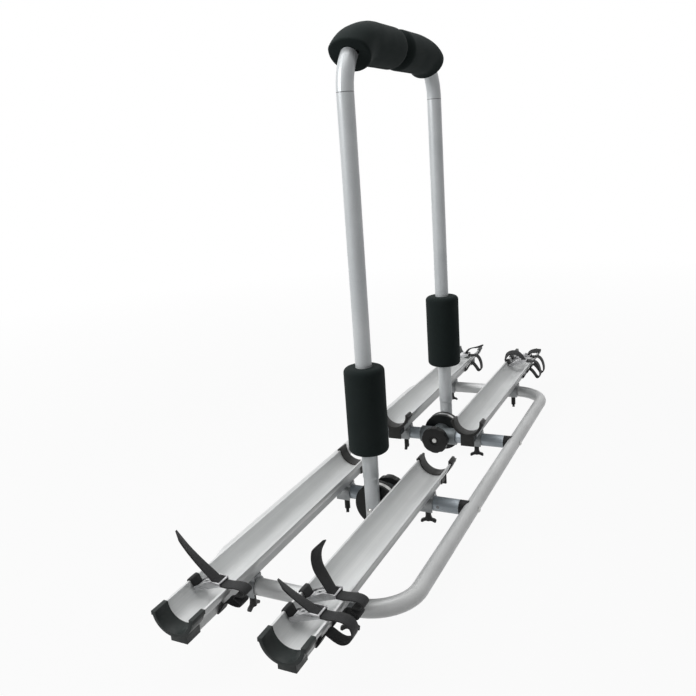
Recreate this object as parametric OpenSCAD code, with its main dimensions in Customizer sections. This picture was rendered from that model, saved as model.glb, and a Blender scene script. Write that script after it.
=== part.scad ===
// Platform rack that carries two bicycles behind a car, with a tilting padded arch.
// X runs across the trays, Y along them, Z up. The rack stands on its clamp knobs at z = 0.

/* [Frame] */
// Outside diameter of the ring and of the cross tubes
tube_d = 28; // [26:1:30]
// Wall of the ring and of the cross tubes
tube_wall = 2; // [1.4:0.2:3]
// Length of the ring over its tube
ring_len = 1068; // [1000:4:1140]
// Width of the ring over its tube
ring_w = 378; // [358:2:420]
// Corner radius of the ring at the middle of its tube
ring_bend = 76; // [60:2:84]
// Distance between the two cross tubes
cross_gap = 332; // [316:2:350]
// Plastic left between a cross tube's end and the ring
saddle_t = 8; // [5:1:12]

/* [Trays] */
// Distance between the two lines of trays
tray_pitch = 172; // [166:2:184]
// Distance of the two lines' middle to the right of the ring's middle
tray_shift = 3; // [0:0.5:4]
// Width of a tray over its rims
tray_w = 68; // [62:1:74]
// Depth of the wheel channel, from its floor to the rims
tray_depth = 28.5; // [24:0.5:32]
// Width of the lip along a rim, counted from the channel
rim_lip = 3.5; // [3:0.1:4.5]
// Wall of the tray extrusion
tray_wall = 2; // [1.6:0.1:2.6]
// Width of the slotted rail under a tray
rail_w = 25; // [22:1:28]
// Height of the slotted rail under a tray
rail_h = 13.5; // [12:0.5:16]
// Length of a tray line that stands out past each end of the ring
tray_over = 175; // [156:1:206]
// Gap between the two trays of a line
inner_gap = 190; // [180:1:220]
// Height of the cradle between a tube and a rail
cradle_h = 6; // [5:0.5:10]
// Width of a cradle across the tray
cradle_w = 28; // [22:1:30]
// Thickness of a cradle beside its tube
cradle_t = 3; // [2:0.5:4]
// Length of an end cap
cap_l = 28; // [24:1:44]
// Length of the cap on a tray's inner end
clip_l = 26; // [20:1:34]
// Height of the inner cap's horns over the rims
horn_h = 5; // [3:1:10]

/* [Hinge] */
// Outside diameter of the collar round a cross tube
collar_d = 38; // [36:1:42]
// Length of the collar along the cross tube
collar_l = 84; // [70:2:90]
// Diameter of the two black hinge discs
disc_d = 86; // [76:1:88]
// Thickness of the disc on the collar
fixed_disc_t = 7.4; // [6:0.2:9]
// Thickness of the bright friction drum
drum_t = 9.4; // [7:0.2:12]
// Thickness of the disc on the leg
leg_disc_t = 6.6; // [5:0.2:8]
// Diameter of the pivot bolt
pivot_d = 10; // [8:1:12]
// Diameter of the hinge's hand knob
hand_knob_d = 62; // [54:1:68]
// Thickness of the hinge's hand knob
hand_knob_t = 14; // [11:1:16]

/* [Arch] */
// Outside diameter of the arch tube
arch_d = 30; // [28:1:32]
// Wall of the arch tube
arch_wall = 2; // [1.5:0.1:3]
// Height of the arch over the hinge axis, at the middle of its tube
arch_h = 833; // [760:5:900]
// Radius of the arch's two bends at the middle of the tube
arch_bend = 83; // [75:1:100]
// Outside diameter of a leg's necked foot
foot_d = 28; // [26:0.5:29]
// Height of the neck over the hinge axis
foot_h = 68; // [56:2:90]
// Length of a leg below the hinge axis
foot_drop = 22; // [18:1:30]
// Length of the bow's spigots inside the legs
spigot_l = 50; // [30:5:80]

/* [Foam] */
// Outside diameter of the foam sleeves
foam_d = 75; // [64:1:80]
// Length of the foam sleeve on a leg
foam_len = 163; // [120:1:200]
// Height of the near leg's sleeve over the hinge axis
near_foam_h = 118; // [100:2:160]
// Height of the far leg's sleeve over the hinge axis
far_foam_h = 157; // [110:1:180]
// Turn of the near bend that the top foam covers
near_foam_turn = 44; // [30:1:60]
// Turn of the far bend that the top foam covers
far_foam_turn = 34; // [30:1:60]
// Gap between the two top foam sleeves
top_foam_gap = 22; // [8:1:40]
// Rounding of the foam's ends
foam_round = 9; // [4:1:14]

/* [Clamps] */
// Diameter of the tray clamp bolts
clamp_d = 6; // [5:1:8]
// Height of a clamp knob below the tube
knob_drop = 27; // [24:1:36]
// Span of a clamp knob's wings
wing_span = 30; // [26:1:36]
// Thickness of a wing
wing_t = 6; // [4:0.5:8]
// Diameter of a clamp knob's stem
stem_d = 11; // [10:0.5:14]

/* [Straps] */
// Width of the webbing
strap_w = 20; // [16:1:25]
// Thickness of the webbing
strap_t = 2; // [1.2:0.2:2.4]
// Distance of an outer strap from the end of its tray line
outer_strap_in = 73; // [60:1:90]
// Distance of the single straps from the end of their tray line
single_strap_in = 92; // [60:1:120]
// Distance between an outer and an inner strap on one tray
strap_step = 48; // [44:1:60]
// Length of a buckle's lever
lever_l = 20; // [16:1:22]

/* [Hidden] */
$fn = 64;
// Facets of a small round edge
small_fn = 24;
// Overrun of every cut
cut = 1;
// Gap between pieces of different bodies, and between soft and hard pieces
seat_gap = 0.3;
// Radial clearance of what turns on a pin
run_gap = 0.05;
// Radial clearance of what is pushed over or into another piece
slip_gap = 0.15;

// Places of the frame
tube_r = tube_d / 2;
plane_z = knob_drop + tube_r;
ring_x = ring_w / 2 - tube_r;
ring_y = ring_len / 2 - tube_r;
cross_y = cross_gap / 2;
cross_end = ring_x - tube_r - saddle_t;
tray_x = tray_pitch / 2;
sides = [-1, 1];

// Places of the hinge, counted outwards from the cross tube
collar_r = collar_d / 2;
fixed_disc_in = collar_r + seat_gap;
drum_in = fixed_disc_in + fixed_disc_t + seat_gap;
leg_disc_in = drum_in + drum_t + seat_gap;
leg_nest = 1.4;
leg_off = leg_disc_in + leg_disc_t - leg_nest + foot_d / 2 + slip_gap;
leg_y = cross_y + leg_off;
hub_boss_r = 22;
knob_boss_l = 4;
hand_knob_in = collar_r + knob_boss_l + seat_gap;
pivot_r = pivot_d / 2;
pivot_head_r = 7;
pivot_head_h = 4;
pivot_end = hand_knob_in + hand_knob_t - seat_gap;

// Places of the arch
arch_r = arch_d / 2;
leg_top = arch_h - arch_bend;
foam_r = foam_d / 2;
foam_bore_r = arch_r + seat_gap;

// Fasteners
clamp_r = clamp_d / 2;
ring_bolt_r = 3;
ring_bolt_head_r = 5.5;
ring_bolt_head_h = 3;
plug_rivet_r = 2;
plug_rivet_head_r = 3.2;
plug_rivet_head_h = 1.2;
plug_share = 0.72;
plug_l = plug_share * (cross_end - tray_x - tray_shift);
rivet_share = 0.86;
plug_rivet_x = cross_end - rivet_share * plug_l;
washer_t = 2.6;

// The tray's section, with the channel floor at height zero
floor_z = plane_z + tube_r + cradle_h + rail_h + tray_wall;
half_w = tray_w / 2;
channel_r = half_w - rim_lip;
channel_c = [0, channel_r];
out_r = channel_r + tray_wall;
lip_t = 3;
rail_half = rail_w / 2;
rail_low = -tray_wall - rail_h;
rail_side = 2.2;
rail_foot = 2.5;
slot_half = clamp_r + 2 * seat_gap;
// Angle at which the half of a round section stops, just short of its middle
low_turn = -88;

// Caps on the two ends of a tray
line_end = ring_len / 2 + tray_over;
inner_end = inner_gap / 2;
clip_flange = 4;
liner_t = 2;
cap_wall = 1.5;
cap_plate = 10;
foot_in = 8;
foot_l = 30;
tray_out = line_end - cap_plate;
tray_in = inner_end + clip_flange;

// Buckle: the fixed bar, the lever's pin and the bar over the webbing, from the tray's middle
bar_r = 1.6;
fixed_bar = [-0.62 * half_w, 0.65 * tray_depth];
lever_pin = [0.13 * half_w, 1.08 * tray_depth];
band_rest = tray_depth + strap_t / 2 + seat_gap;
top_bar = [0.6 * half_w, band_rest + strap_t / 2 + bar_r + 2 * seat_gap];
tail_back = 5;
plate_t = 1.6;
plate_in = strap_w / 2 + seat_gap;
lever_w = 0.72 * strap_w;
lever_t = 2.2;
cam_r = 3;
lever_pin_r = 1.5;
lever_tilt = 17;

// Tails and loops of the straps, as shares of the tray's width, from the top bar outwards
tail_single_shares = [[-0.24, 0.22], [-0.48, 0.44], [-0.74, 0.74], [-0.95, 1.09]];
tail_outer_shares = [[-0.2, 0.15], [-0.33, 0.25], [-0.53, 0.42], [-0.75, 0.64]];
tail_inner_shares = [[-0.12, 0.16], [-0.26, 0.36], [-0.42, 0.56], [-0.44, 0.84], [-0.17, 1.15]];
tail_bent_shares = [[0, 0.14], [0.16, 0.3], [0.46, 0.34], [0.75, 0.43]];
tail_spike_shares = [[-0.02, 0.12], [0.12, 0.22], [0.34, 0.24], [0.49, 0.36]];
tail_droop_shares = [[-0.1, 0.18], [-0.24, 0.32], [-0.5, 0.36], [-0.7, 0.24], [-0.8, 0.04]];
loop_fold_shares = [
  [0.18, 0.03], [0.35, 0.02], [0.45, -0.07], [0.37, -0.155], [0.2, -0.14], [0.125, -0.2],
  [0.22, -0.27], [0.33, -0.31], [0.28, -0.4], [0.1, -0.4], [-0.09, -0.33]];
loop_open_shares = [
  [0.18, 0.03], [0.36, 0.01], [0.48, -0.09], [0.51, -0.24], [0.43, -0.41], [0.27, -0.5],
  [0.12, -0.46], [-0.02, -0.37], [-0.1, -0.33]];
loop_hang_shares = [
  [0.13, 0.03], [0.27, -0.08], [0.36, -0.34], [0.36, -0.6], [0.24, -0.66], [0.14, -0.5],
  [0.02, -0.35], [-0.09, -0.3]];

// Points of an arc about a centre, from one angle to another
function arc(c, r, a0, a1, n = 6) =
  [for (i = [0:n]) let (a = a0 + (a1 - a0) * i / n) c + r * [cos(a), sin(a)]];

function mirrored(pts) = [for (i = [len(pts) - 1:-1:0]) [-pts[i][0], pts[i][1]]];

// Angles at which a circle about the channel's middle reaches a given x or height
function angle_at_x(r, x) = -acos(x / r);
function angle_at_z(r, z) = asin((z - channel_r) / r);

// Right half of the channel's surface from floor to rims, moved outwards by d and drawn up to a height
function channel_half(d, top) =
  let (bend = arc(channel_c, channel_r + d, low_turn, angle_at_z(channel_r + d, tray_depth), 12))
  concat(bend, [[bend[12][0], top]]);

function channel_curve(d, top) = concat(mirrored(channel_half(d, top)), channel_half(d, top));

// Outside of the channel and its lips, grown by d
function envelope_half(d) =
  let (low = tray_depth - lip_t - d)
  concat(arc(channel_c, out_r + d, low_turn, angle_at_z(out_r + d, low), 12),
    [[half_w + d, low], [half_w + d, tray_depth + d]]);

function envelope(d) = concat(mirrored(envelope_half(d)), envelope_half(d));

// Smoothed open line: each inner point is rounded off between the middles beside it
function rounded(pts, n = 4) =
  let (last = len(pts) - 1)
  concat([pts[0]],
    [for (i = [1:last - 1]) let (a = (pts[i - 1] + pts[i]) / 2, b = (pts[i] + pts[i + 1]) / 2)
      for (k = [0:n - 1]) let (t = k / n) (1 - t) * (1 - t) * a + 2 * t * (1 - t) * pts[i] + t * t * b],
    [(pts[last - 1] + pts[last]) / 2, pts[last]]);

function unit(v) = v / norm(v);
function side_normal(pts, i) =
  let (a = pts[max(i - 1, 0)], b = pts[min(i + 1, len(pts) - 1)], d = unit(b - a)) [-d[1], d[0]];

// Outline of a band of thickness t along a line of points
function band(pts, t) =
  concat([for (i = [0:len(pts) - 1]) pts[i] + side_normal(pts, i) * t / 2],
    [for (i = [len(pts) - 1:-1:0]) pts[i] - side_normal(pts, i) * t / 2]);

// Shapes that repeat

module along_x(r, from, to) {
  translate([from, 0, 0]) rotate([0, 90, 0]) cylinder(r = r, h = to - from);
}

module along_y(r, from, to) {
  translate([0, from, 0]) rotate([-90, 0, 0]) cylinder(r = r, h = to - from);
}

module along_z(r, from, to) {
  translate([0, 0, from]) cylinder(r = r, h = to - from);
}

// A section drawn in X and Z, swept from one y to another
module swept_y(from, to) {
  translate([0, to, 0]) rotate([90, 0, 0]) linear_extrude(height = to - from) children();
}

// Puts a piece at the tube crossing or tray end of one side: -1 is near, 1 is far
module at_end(side) {
  if (side > 0) children();
  else mirror([0, 1, 0]) children();
}

module at_plane() {
  translate([0, 0, plane_z]) children();
}

module at_clamps() {
  for (sx = sides, y = [-ring_y, -cross_y, cross_y, ring_y])
    translate([sx * tray_x + tray_shift, y, 0]) children();
}

// A low domed head on the end of a bolt, pointing up
module dome(r, h) {
  cap_r = (r * r + h * h) / (2 * h);
  intersection() {
    translate([0, 0, h - cap_r]) sphere(r = cap_r);
    cylinder(r = r, h = h);
  }
}

// Frame

module ring_path(r) {
  straight_x = ring_x - ring_bend;
  straight_y = ring_y - ring_bend;
  for (sx = sides) translate([sx * ring_x, 0, 0]) along_y(r, -straight_y, straight_y);
  for (sy = sides) translate([0, sy * ring_y, 0]) along_x(r, -straight_x, straight_x);
  for (k = [0:3])
    translate([(k == 0 || k == 3 ? 1 : -1) * straight_x, (k < 2 ? 1 : -1) * straight_y, 0])
      rotate([0, 0, 90 * k]) rotate_extrude(angle = 90) translate([ring_bend, 0]) circle(r = r);
}

module ring_frame() {
  color([0.78, 0.79, 0.8]) at_plane() difference() {
    ring_path(tube_r);
    ring_path(tube_r - tube_wall);
    for (sx = sides, sy = sides) {
      translate([sx * ring_x, sy * cross_y, 0])
        along_x(ring_bolt_r + slip_gap, -tube_r - cut, tube_r + cut);
      translate([sx * tray_x + tray_shift, sy * ring_y, 0])
        along_z(clamp_r + slip_gap, -tube_r - cut, tube_r + cut);
    }
  }
}

module cross_tube(side) {
  color([0.62, 0.67, 0.73]) at_plane() at_end(side) translate([0, cross_y, 0]) difference() {
    along_x(tube_r, -cross_end, cross_end);
    along_x(tube_r - tube_wall, -cross_end - cut, cross_end + cut);
    along_y(pivot_r + slip_gap, -tube_r - cut, tube_r + cut);
    for (sx = sides) {
      translate([sx * tray_x + tray_shift, 0, 0]) along_z(clamp_r + slip_gap, -tube_r - cut, tube_r + cut);
      translate([sx * plug_rivet_x, 0, 0]) along_y(plug_rivet_r + slip_gap, 0, tube_r + cut);
    }
  }
}

// Plastic end of a cross tube: a plug inside it and a saddle against the ring
module tube_saddle() {
  spigot_r = tube_r - tube_wall - slip_gap;
  difference() {
    union() {
      along_x(spigot_r, cross_end - plug_l, cross_end);
      along_x(tube_r, cross_end, ring_x - saddle_t / 2);
    }
    translate([ring_x, 0, 0]) along_y(tube_r + slip_gap, -tube_d, tube_d);
    along_x(ring_bolt_r + slip_gap, cross_end - plug_l - cut, ring_x);
    translate([plug_rivet_x, 0, 0]) along_y(plug_rivet_r + slip_gap, spigot_r / 2, tube_r);
  }
}

module tube_saddles() {
  color([0.08, 0.08, 0.09]) at_plane() for (sx = sides, sy = sides)
    at_end(sy) translate([0, cross_y, 0]) mirror([sx < 0 ? 1 : 0, 0, 0]) tube_saddle();
}

module ring_bolt() {
  head_x = ring_x + tube_r + slip_gap;
  along_x(ring_bolt_r, cross_end - plug_l / 2, head_x);
  translate([head_x, 0, 0]) rotate([0, 90, 0]) dome(ring_bolt_head_r, ring_bolt_head_h);
}

module ring_bolts() {
  color([0.7, 0.7, 0.72]) at_plane() for (sx = sides, sy = sides)
    at_end(sy) translate([0, cross_y, 0]) mirror([sx < 0 ? 1 : 0, 0, 0]) ring_bolt();
}

module plug_rivet() {
  along_y(plug_rivet_r, tube_r / 2, tube_r);
  translate([0, tube_r, 0]) rotate([-90, 0, 0]) dome(plug_rivet_head_r, plug_rivet_head_h);
}

module plug_rivets() {
  color([0.5, 0.5, 0.52]) at_plane() for (sx = sides, sy = sides)
    at_end(sy) translate([sx * plug_rivet_x, cross_y, 0]) plug_rivet();
}

// Hinge

module at_hinge(side) {
  at_plane() at_end(side) translate([0, cross_y, 0]) children();
}

// Aluminium collar round the cross tube, with a boss for the discs and one for the knob
module hinge_hub(side) {
  color([0.55, 0.57, 0.6]) at_hinge(side) difference() {
    union() {
      along_x(collar_r, -collar_l / 2, collar_l / 2);
      along_y(hub_boss_r, 0, collar_r);
      along_y(hub_boss_r - knob_boss_l, -collar_r - knob_boss_l, 0);
    }
    along_x(tube_r + slip_gap, -collar_l / 2 - cut, collar_l / 2 + cut);
    along_y(pivot_r + slip_gap, -collar_d, collar_d);
  }
}

module ring_disc(r, bore_r, from, to, edge) {
  difference() {
    translate([0, from, 0]) rotate([-90, 0, 0]) rotate_extrude() polygon([
      [0, 0], [r - edge, 0], [r, edge], [r, to - from - edge], [r - edge, to - from], [0, to - from]]);
    along_y(bore_r, from - cut, to + cut);
  }
}

disc_edge = 1;

module fixed_discs() {
  color([0.09, 0.09, 0.1]) for (s = sides) at_hinge(s)
    ring_disc(disc_d / 2, pivot_r + slip_gap, fixed_disc_in, fixed_disc_in + fixed_disc_t, disc_edge);
}

module friction_drums() {
  color([0.8, 0.8, 0.82]) for (s = sides) at_hinge(s)
    ring_disc(disc_d / 2 - disc_edge, pivot_r + slip_gap, drum_in, drum_in + drum_t, disc_edge / 2);
}

// Black disc on the leg, with a shallow groove that the leg's foot lies in
module leg_disc(side) {
  color([0.09, 0.09, 0.1]) at_hinge(side) difference() {
    ring_disc(disc_d / 2, pivot_r + run_gap, leg_disc_in, leg_disc_in + leg_disc_t, disc_edge);
    translate([0, leg_off, 0]) along_z(foot_d / 2 + slip_gap, -disc_d, disc_d);
  }
}

module pivot_bolts() {
  color([0.75, 0.75, 0.77]) for (s = sides) at_hinge(s) {
    along_y(pivot_r, -pivot_end, leg_off + foot_d / 2 + seat_gap);
    translate([0, leg_off + foot_d / 2 + seat_gap, 0]) rotate([-90, 0, 0])
      dome(pivot_head_r, pivot_head_h);
  }
}

knob_lobes = 8;
lobe_cut_r = 9;
lobe_depth = 1.9;
knob_recess_r = 11;
knob_recess_h = 3;

// Round hand knob with scalloped grips and a recess for the bolt's end
module hand_knob(side) {
  r = hand_knob_d / 2;
  color([0.07, 0.07, 0.08]) at_hinge(side) difference() {
    ring_disc(r, pivot_r + run_gap, -hand_knob_in - hand_knob_t, -hand_knob_in, 2 * disc_edge);
    translate([0, -hand_knob_in - hand_knob_t, 0]) along_y(knob_recess_r, -cut, knob_recess_h);
    for (k = [0:knob_lobes - 1]) rotate([0, (k + 0.5) * 360 / knob_lobes, 0])
      translate([r + lobe_cut_r - lobe_depth, 0, 0])
        along_y(lobe_cut_r, -hand_knob_in - hand_knob_t - cut, -hand_knob_in + cut);
  }
}

// Arch

neck_l = 4;

module leg(side) {
  wall_top = arch_r - arch_wall;
  wall_low = foot_d / 2 - arch_wall;
  color([0.72, 0.75, 0.8]) at_plane() at_end(side) translate([0, leg_y, 0]) difference() {
    rotate_extrude() polygon([
      [wall_low, -foot_drop], [foot_d / 2, -foot_drop], [foot_d / 2, foot_h - neck_l],
      [arch_r, foot_h], [arch_r, leg_top], [wall_top, leg_top], [wall_top, foot_h],
      [wall_low, foot_h - neck_l]]);
    along_y(pivot_r + run_gap, -arch_d, arch_d);
  }
}

// A round bar bent round one corner of the arch
module top_bend(r) {
  translate([0, leg_y - arch_bend, leg_top]) rotate([90, 0, 90])
    rotate_extrude(angle = 90) translate([arch_bend, 0]) circle(r = r);
}

module arch_bow() {
  spigot_r = arch_r - arch_wall - slip_gap;
  span = leg_y - arch_bend;
  color([0.72, 0.75, 0.8]) at_plane() difference() {
    union() {
      translate([0, 0, arch_h]) along_y(arch_r, -span, span);
      for (s = sides) at_end(s) {
        top_bend(arch_r);
        translate([0, leg_y, 0]) along_z(spigot_r, leg_top - spigot_l, leg_top);
      }
    }
    translate([0, 0, arch_h]) along_y(spigot_r - arch_wall, -span, span);
    for (s = sides) at_end(s) {
      top_bend(spigot_r - arch_wall);
      translate([0, leg_y, 0]) along_z(spigot_r - arch_wall, leg_top - spigot_l - cut, leg_top);
    }
  }
}

plug_cap_t = 2;
plug_depth = 9;

module leg_plugs() {
  color([0.08, 0.08, 0.09]) at_plane() for (s = sides) at_end(s) translate([0, leg_y, 0]) {
    along_z(foot_d / 2, -foot_drop - plug_cap_t, -foot_drop);
    along_z(foot_d / 2 - arch_wall - slip_gap, -foot_drop, -foot_drop + plug_depth);
  }
}

// Foam

// Outline of a straight sleeve with no bore, its two ends rounded off by the given radii
module sleeve_section(len, low_round, high_round) {
  high = high_round > 0 ? arc([foam_r - high_round, len - high_round], high_round, 0, 90) : [[foam_r, len]];
  polygon(concat([[0, 0]], arc([foam_r - low_round, low_round], low_round, -90, 0), high, [[0, len]]));
}

module foam_leg(side, h) {
  color([0.1, 0.11, 0.11]) at_plane() at_end(side) translate([0, leg_y, h]) difference() {
    rotate_extrude() sleeve_section(foam_len, foam_round, foam_round);
    along_z(foam_bore_r, -cut, foam_len + cut);
  }
}

// Foam over one corner of the arch: a straight sleeve and part of a bent one
module foam_top(side) {
  span = leg_y - arch_bend;
  inner = top_foam_gap / 2;
  reach = 2 * arch_bend;
  turn = side < 0 ? near_foam_turn : far_foam_turn;
  color([0.1, 0.11, 0.11]) at_plane() at_end(side) difference() {
    union() {
      translate([0, inner, arch_h]) rotate([-90, 0, 0])
        rotate_extrude() sleeve_section(span - inner, foam_round, 0);
      top_bend(foam_r);
    }
    translate([0, 0, arch_h]) along_y(foam_bore_r, inner - cut, span);
    top_bend(foam_bore_r);
    translate([0, span, leg_top]) rotate([90, 0, 90]) rotate([0, 0, 90 - turn])
      translate([0, -reach, -reach / 2]) cube([reach, reach, reach]);
  }
}

// Trays

// Round channel with a lip along each rim, on a rail with a slot along its underside
module tray_section() {
  cavity = rail_half - rail_side;
  lip_low = tray_depth - lip_t;
  half = concat(
    arc(channel_c, out_r, low_turn, angle_at_x(out_r, cavity), 2),
    [[cavity, rail_low + rail_foot], [slot_half, rail_low + rail_foot],
      [slot_half, rail_low], [rail_half, rail_low]],
    arc(channel_c, out_r, angle_at_x(out_r, rail_half), angle_at_z(out_r, lip_low), 9),
    [[half_w, lip_low], [half_w, tray_depth]],
    arc(channel_c, channel_r, angle_at_z(channel_r, tray_depth), low_turn, 12));
  polygon(concat(half, mirrored(half)));
}

module at_tray(sx, side) {
  at_end(side) translate([sx * tray_x + tray_shift, 0, floor_z]) children();
}

module tray(sx, side) {
  color([0.86, 0.88, 0.88]) at_tray(sx, side) swept_y(tray_in, tray_out) tray_section();
}

// Outline round the rail, grown by d, that reaches up into the channel
module rail_box(d) {
  translate([-rail_half - d, rail_low - d]) square([rail_w + 2 * d, tray_depth / 2 - rail_low + d]);
}

// Cuts the wheel channel, lined by d, out of an outline
module lined(d) {
  difference() {
    children();
    polygon(channel_curve(-d, tray_depth + horn_h + cut));
  }
}

// Space that a tray takes up inside its caps
module tray_pocket() {
  lined(slip_gap) union() {
    polygon(envelope(slip_gap));
    rail_box(slip_gap);
  }
}

// Channel-shaped cap over a tray's outer end, with a foot round the end of the rail
module end_cap(sx, side) {
  foot_out = line_end - foot_in;
  color([0.1, 0.11, 0.11]) at_tray(sx, side) difference() {
    union() {
      swept_y(line_end - cap_l, line_end) lined(liner_t) polygon(envelope(cap_wall));
      swept_y(foot_out - foot_l, foot_out) lined(slip_gap) rail_box(cap_wall);
    }
    swept_y(foot_out - foot_l - cut, tray_out + slip_gap) tray_pocket();
  }
}

tongue_drop = 10;
tongue_half = 15;
barb_out = 1.5;

module clip_section() {
  inner = channel_r - 2 * liner_t;
  edge = half_w + cap_wall;
  low = tray_depth - lip_t;
  top = tray_depth + horn_h;
  horn = [[inner, low], [edge, low], [edge + barb_out, tray_depth + cap_wall],
    [half_w, tray_depth + cap_wall], [half_w - cap_wall, top], [inner, top]];
  lined(liner_t) union() {
    polygon(envelope(cap_wall));
    polygon(horn);
    polygon(mirrored(horn));
  }
}

// Cap over a tray's inner end, with a horn over each rim, a sleeve round the rail and a hanging tongue
module inner_clip(sx, side) {
  color([0.16, 0.16, 0.15]) at_tray(sx, side) difference() {
    union() {
      swept_y(inner_end, inner_end + clip_l) clip_section();
      swept_y(inner_end + clip_flange / 2, inner_end + clip_l) lined(slip_gap) rail_box(cap_wall);
      swept_y(inner_end, tray_in - slip_gap) translate([-tongue_half, rail_low - tongue_drop])
        square([2 * tongue_half, tongue_drop - rail_low]);
    }
    swept_y(tray_in - slip_gap, inner_end + clip_l + cut) tray_pocket();
  }
}

cradle_pad = 20;
cradle_drop = 12;

// Aluminium saddle over a tube, with a flat top for the rail and a leg down each side of the tube
module tray_cradle() {
  r = tube_r + cradle_t;
  leg_gap = tube_r + 2 * slip_gap;
  half = concat([[r, -cradle_drop]], arc([0, 0], r, 0, acos(cradle_pad / 2 / r)),
    [[cradle_pad / 2, tube_r + cradle_h]]);
  difference() {
    rotate([0, 0, 90]) swept_y(-cradle_w / 2, cradle_w / 2) polygon(concat(half, mirrored(half)));
    along_x(tube_r + slip_gap, -cradle_w, cradle_w);
    translate([-cradle_w, -leg_gap, -r - cut]) cube([2 * cradle_w, 2 * leg_gap, r + cut]);
    along_z(clamp_r + slip_gap, 0, tube_d + cradle_h);
  }
}

module tray_cradles() {
  color([0.6, 0.62, 0.63]) at_plane() at_clamps() tray_cradle();
}

// Clamps

clamp_head_r = 7;
clamp_head_h = 2.6;
clamp_tip = 6;

// Bolts whose heads lie inside the rails, on both sides of the slot
module clamp_bolts() {
  seat = floor_z + rail_low + rail_foot;
  color([0.75, 0.75, 0.77]) at_clamps() {
    along_z(clamp_r, clamp_tip, seat);
    translate([0, 0, seat]) dome(clamp_head_r, clamp_head_h);
  }
}

// Washer with a hollow top that fits the underside of a tube
module saddle_washers() {
  color([0.45, 0.46, 0.48]) at_plane() at_clamps() difference() {
    along_z(stem_d / 2 + slip_gap, -tube_r - washer_t, -tube_r + washer_t / 2);
    along_x(tube_r + slip_gap, -stem_d, stem_d);
    along_z(clamp_r + slip_gap, -tube_d, 0);
  }
}

// Outline of a knob's wings as shares of half its span and of its height
wing_shares = [
  [0.3, 0.62], [0.48, 0.34], [0.84, 0.26], [1, 0.16], [0.97, 0.03], [0.8, 0], [0.44, 0.12], [0, 0.16]];

module wing_knob(sx, y, turn) {
  top = knob_drop - washer_t - seat_gap;
  half = [for (p = wing_shares) [p[0] * wing_span / 2, p[1] * top]];
  color([0.08, 0.08, 0.09]) translate([sx * tray_x + tray_shift, y, 0]) rotate([0, 0, turn]) difference() {
    union() {
      along_z(stem_d / 2, wing_shares[7][1] * top, top);
      swept_y(-wing_t / 2, wing_t / 2)
        polygon(concat(half, [for (i = [6:-1:0]) [-half[i][0], half[i][1]]]));
    }
    along_z(clamp_r + run_gap, clamp_tip - seat_gap, top + cut);
  }
}

// Straps

// Angle at which the line that wraps two circles, going from the first to the second, touches them
function touch_angle(c1, r1, c2, r2) = let (d = c2 - c1) atan2(d[1], d[0]) + acos((r1 - r2) / norm(d));

// Line of the webbing round a tray: tail, top bar, loop, under the rail, left rim, fixed bar
function strap_line(tail_shares, loop_shares) =
  let (off = strap_t / 2 + seat_gap, rim_r = off + seat_gap, wrap_r = bar_r + strap_t / 2 + slip_gap)
  let (start = [top_bar[0] - tail_back, band_rest], rim = [half_w, band_rest])
  let (rail_right = [rail_half, rail_low], rail_left = [-rail_half, rail_low])
  let (lip_low = [-half_w, tray_depth - lip_t], lip_top = [-half_w + seat_gap, tray_depth - seat_gap])
  let (leave = touch_angle(rail_left, off, channel_c, out_r + off) - 360)
  let (arrive = touch_angle(channel_c, out_r + off, lip_low, off), middle = (leave + arrive) / 2)
  concat(
    rounded(concat(
      [for (i = [len(tail_shares) - 1:-1:0]) start + tail_shares[i] * tray_w],
      [start, rim],
      [for (s = loop_shares) rim + s * tray_w],
      [rail_right + off * [cos(-30), sin(-30)]])),
    arc(rail_right, off, -45, -90, 3),
    arc(rail_left, off, -90, leave, 4),
    [channel_c + (out_r + off) * [cos(middle), sin(middle)]],
    arc(lip_low, off, arrive, -180, 2),
    arc(lip_top, rim_r, -180, -270, 4),
    arc([-channel_r - seat_gap, tray_depth - seat_gap], rim_r, 90, 16, 4),
    arc(fixed_bar, wrap_r, 196, 320));

module at_strap(sx, side, inset) {
  translate([sx * tray_x + tray_shift, side * (line_end - inset), floor_z]) children();
}

module strap(sx, side, inset, tail_shares, loop_shares) {
  color([0.06, 0.06, 0.07]) at_strap(sx, side, inset) swept_y(-strap_w / 2, strap_w / 2)
    polygon(band(strap_line(tail_shares, loop_shares), strap_t));
}

// Two side plates joined by the fixed bar, the lever's pin and the bar over the webbing
module buckle_frame() {
  out = plate_in + plate_t;
  rim = 1.8 * bar_r;
  for (s = sides) mirror([0, s < 0 ? 1 : 0, 0]) swept_y(plate_in, out) polygon([
    fixed_bar + [-rim, -rim], fixed_bar + [rim, -rim], [top_bar[0] + rim, top_bar[1] - rim],
    [top_bar[0] + rim, top_bar[1] + rim], [lever_pin[0], top_bar[1] + rim], fixed_bar + [-rim, rim]]);
  for (p = [fixed_bar, top_bar]) translate([p[0], 0, p[1]]) along_y(bar_r, -out, out);
  translate([lever_pin[0], 0, lever_pin[1]]) along_y(lever_pin_r, -out, out);
}

inset_outer = outer_strap_in;
inset_inner = outer_strap_in + strap_step;

module buckle_frames() {
  color([0.72, 0.73, 0.75]) for (s = sides) {
    at_strap(-1, s, single_strap_in) buckle_frame();
    for (inset = [inset_outer, inset_inner]) at_strap(1, s, inset) buckle_frame();
  }
}

// Lever with a cam round its pin and a slot in its plate
module cam_lever(sx, side, inset) {
  color([0.8, 0.81, 0.82]) at_strap(sx, side, inset) translate([lever_pin[0], 0, lever_pin[1]])
    rotate([0, -lever_tilt, 0]) difference() {
      union() {
        along_y(cam_r, -lever_w / 2, lever_w / 2);
        translate([-lever_l, -lever_w / 2, -lever_t / 2]) cube([lever_l, lever_w, lever_t]);
      }
      along_y(lever_pin_r + run_gap, -lever_w, lever_w);
      translate([-0.78 * lever_l, -lever_w / 5, -lever_t])
        cube([lever_l / 3, 2 * lever_w / 5, 2 * lever_t]);
    }
}

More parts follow.
